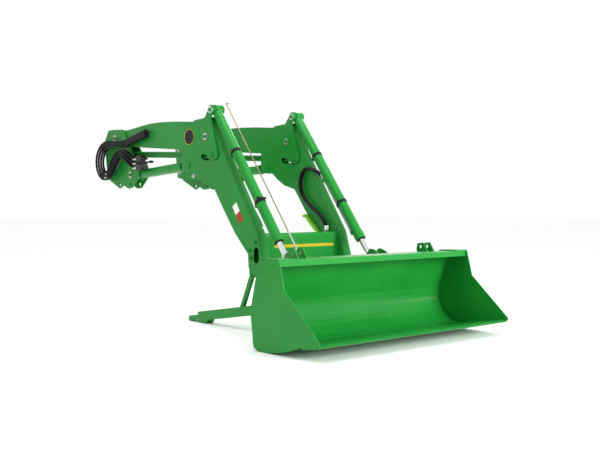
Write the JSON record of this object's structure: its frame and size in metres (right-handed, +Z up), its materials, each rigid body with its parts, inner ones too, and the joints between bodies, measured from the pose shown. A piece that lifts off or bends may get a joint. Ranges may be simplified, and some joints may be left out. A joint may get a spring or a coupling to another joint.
{
  "type": "front loader",
  "caption": "Tractor front loader with twin boom arms, self-levelling linkage, lift and tilt cylinders, parking stands and a wide material bucket.",
  "frame": {"origin": "middle of the flat heel under the bucket, on the floor", "axes": "-Y towards the cutting edge, +Y towards the tractor, +Z up, -X is the operator's right"},
  "size_m": [2.16, 4.218, 2.0429],
  "materials": {
    "green_paint": "gloss paint",
    "light_green": "gloss paint",
    "chrome_rod": "polished",
    "zinc_steel": "zinc plated",
    "hose_rubber": "matt",
    "black_plastic": "matt",
    "badge_black": "gloss"
  },
  "bodies": {
    "boom": {"boom_right": "green_paint", "boom_left": "green_paint", "torque_tube": "green_paint", "crank_pin_right": "zinc_steel", "crank_pin_left": "zinc_steel", "badge_right": "badge_black", "badge_left": "badge_black", "hose_sleeve": "black_plastic", "hose_bracket": "light_green", "feed_block": "zinc_steel", "feed_hose_0": "hose_rubber", "feed_hose_1": "hose_rubber", "tilt_hose_0": "hose_rubber", "tilt_hose_1": "hose_rubber"},
    "bucket_pins": {"bucket_pin_right": "zinc_steel", "bucket_pin_left": "zinc_steel"},
    "bucket": {"bucket": "green_paint", "cutting_edge": "green_paint", "carrier": "green_paint"},
    "mast_right": {"mast_right": "green_paint", "mast_pin_right": "zinc_steel", "link_pin_right": "zinc_steel", "barrel_pin_right": "zinc_steel", "coupler_block": "zinc_steel", "mast_hose_0": "hose_rubber", "mast_hose_1": "hose_rubber", "mast_hose_2": "hose_rubber", "mast_hose_3": "hose_rubber", "mast_hose_4": "hose_rubber", "mast_hose_5": "hose_rubber"},
    "link_right": {"link_right": "green_paint"},
    "bellcrank_right": {"bellcrank_right": "green_paint", "tower_pin_right": "zinc_steel"},
    "tilt_barrel_right": {"tilt_barrel_right": "green_paint", "tilt_line_right": "zinc_steel"},
    "tilt_rod_right": {"tilt_rod_right": "chrome_rod", "level_rod": "zinc_steel", "level_tube": "zinc_steel"},
    "lift_barrel_right": {"lift_barrel_right": "green_paint"},
    "lift_rod_right": {"lift_rod_right": "chrome_rod"},
    "stand_right": {"stand_right": "green_paint"},
    "brace_right": {"brace_right": "green_paint"},
    "mast_left": {"mast_left": "green_paint", "mast_pin_left": "zinc_steel", "link_pin_left": "zinc_steel", "barrel_pin_left": "zinc_steel"},
    "link_left": {"link_left": "green_paint"},
    "bellcrank_left": {"bellcrank_left": "green_paint", "tower_pin_left": "zinc_steel"},
    "tilt_barrel_left": {"tilt_barrel_left": "green_paint", "tilt_line_left": "zinc_steel"},
    "tilt_rod_left": {"tilt_rod_left": "chrome_rod"},
    "lift_barrel_left": {"lift_barrel_left": "green_paint"},
    "lift_rod_left": {"lift_rod_left": "chrome_rod"},
    "stand_left": {"stand_left": "green_paint"},
    "brace_left": {"brace_left": "green_paint"},
    "coupler_lever": {"coupler_lever": "black_plastic"}
  },
  "joints": [
    {"name": "lift", "type": "hinge", "parent": "boom", "child": "bucket_pins", "pos_m": [0, 0.438, 0.318], "axis": [1, 0, 0], "range_deg": [-4, 50]},
    {"name": "tilt", "type": "hinge", "parent": "bucket_pins", "child": "bucket", "pos_m": [0, 0.438, 0.318], "axis": [-1, 0, 0], "range_deg": [-50, 30]},
    {"name": "mast_right", "type": "hinge", "parent": "boom", "child": "mast_right", "pos_m": [-0.481, 3.25, 1.82], "axis": [1, 0, 0], "range_deg": [-4.01, 50.01], "deforming": ["mast_hose_0", "mast_hose_1", "mast_hose_2", "mast_hose_3", "mast_hose_4", "mast_hose_5"]},
    {"name": "link_right", "type": "hinge", "parent": "mast_right", "child": "link_right", "pos_m": [-0.481, 3.161, 1.646], "axis": [1, 0, 0], "range_deg": [-50.01, 4.01]},
    {"name": "bellcrank_right", "type": "hinge", "parent": "boom", "child": "bellcrank_right", "pos_m": [-0.481, 1.532, 1.736], "axis": [1, 0, 0], "range_deg": [-4.01, 50.01]},
    {"name": "tilt_barrel_right", "type": "hinge", "parent": "bellcrank_right", "child": "tilt_barrel_right", "pos_m": [-0.481, 1.45, 1.976], "axis": [1, 0, 0], "range_deg": [-50.01, 4.01]},
    {"name": "tilt_rod_right", "type": "slide", "parent": "tilt_barrel_right", "child": "tilt_rod_right", "axis": [0, -0.6108, -0.7918], "range_m": [-0.1114, 0.1855]},
    {"name": "lift_barrel_right", "type": "hinge", "parent": "mast_right", "child": "lift_barrel_right", "pos_m": [-0.481, 2.92, 1.42], "axis": [1, 0, 0], "range_deg": [-53.25, 4.28]},
    {"name": "lift_rod_right", "type": "slide", "parent": "lift_barrel_right", "child": "lift_rod_right", "axis": [0, -0.9982, 0.0603], "range_m": [-0.0347, 0.4326]},
    {"name": "stand_right", "type": "hinge", "parent": "boom", "child": "stand_right", "pos_m": [-0.481, 0.6, 0.232], "axis": [1, 0, 0], "range_deg": [0, 45]},
    {"name": "brace_right", "type": "hinge", "parent": "boom", "child": "brace_right", "pos_m": [-0.481, 0.9, 0.505], "axis": [1, 0, 0], "range_deg": [0, 96.76]},
    {"name": "mast_left", "type": "hinge", "parent": "boom", "child": "mast_left", "pos_m": [0.481, 3.25, 1.82], "axis": [1, 0, 0], "range_deg": [-4.01, 50.01]},
    {"name": "link_left", "type": "hinge", "parent": "mast_left", "child": "link_left", "pos_m": [0.481, 3.161, 1.646], "axis": [1, 0, 0], "range_deg": [-50.01, 4.01]},
    {"name": "bellcrank_left", "type": "hinge", "parent": "boom", "child": "bellcrank_left", "pos_m": [0.481, 1.532, 1.736], "axis": [1, 0, 0], "range_deg": [-4.01, 50.01]},
    {"name": "tilt_barrel_left", "type": "hinge", "parent": "bellcrank_left", "child": "tilt_barrel_left", "pos_m": [0.481, 1.45, 1.976], "axis": [1, 0, 0], "range_deg": [-50.01, 4.01], "deforming": ["tilt_hose_0", "tilt_hose_1"]},
    {"name": "tilt_rod_left", "type": "slide", "parent": "tilt_barrel_left", "child": "tilt_rod_left", "axis": [0, -0.6108, -0.7918], "range_m": [-0.1114, 0.1855]},
    {"name": "lift_barrel_left", "type": "hinge", "parent": "mast_left", "child": "lift_barrel_left", "pos_m": [0.481, 2.92, 1.42], "axis": [1, 0, 0], "range_deg": [-53.25, 4.28]},
    {"name": "lift_rod_left", "type": "slide", "parent": "lift_barrel_left", "child": "lift_rod_left", "axis": [0, -0.9982, 0.0603], "range_m": [-0.0347, 0.4326]},
    {"name": "stand_left", "type": "hinge", "parent": "boom", "child": "stand_left", "pos_m": [0.481, 0.6, 0.232], "axis": [1, 0, 0], "range_deg": [0, 45]},
    {"name": "brace_left", "type": "hinge", "parent": "boom", "child": "brace_left", "pos_m": [0.481, 0.9, 0.505], "axis": [1, 0, 0], "range_deg": [0, 96.76]},
    {"name": "coupler_lever", "type": "hinge", "parent": "mast_right", "child": "coupler_lever", "pos_m": [-0.617, 2.67, 1.533], "axis": [-1, 0, 0], "range_deg": [0, 70]}
  ],
  "couplings": [
    {"joint": "mast_right", "follows": "lift", "ratio": 1},
    {"joint": "link_right", "follows": "lift", "ratio": -1},
    {"joint": "bellcrank_right", "follows": "lift", "ratio": 1},
    {"joint": "tilt_barrel_right", "follows": "lift", "ratio": -1},
    {"joint": "tilt_rod_right", "follows": "tilt", "m_per_rad": -0.2125},
    {"joint": "lift_barrel_right", "follows": "lift", "ratio": -1.0646},
    {"joint": "lift_rod_right", "follows": "lift", "m_per_rad": 0.4956},
    {"joint": "brace_right", "follows": "stand_right", "ratio": 2.15},
    {"joint": "mast_left", "follows": "lift", "ratio": 1},
    {"joint": "link_left", "follows": "lift", "ratio": -1},
    {"joint": "bellcrank_left", "follows": "lift", "ratio": 1},
    {"joint": "tilt_barrel_left", "follows": "lift", "ratio": -1},
    {"joint": "tilt_rod_left", "follows": "tilt", "m_per_rad": -0.2125},
    {"joint": "lift_barrel_left", "follows": "lift", "ratio": -1.0646},
    {"joint": "lift_rod_left", "follows": "lift", "m_per_rad": 0.4956},
    {"joint": "brace_left", "follows": "stand_left", "ratio": 2.15}
  ]
}
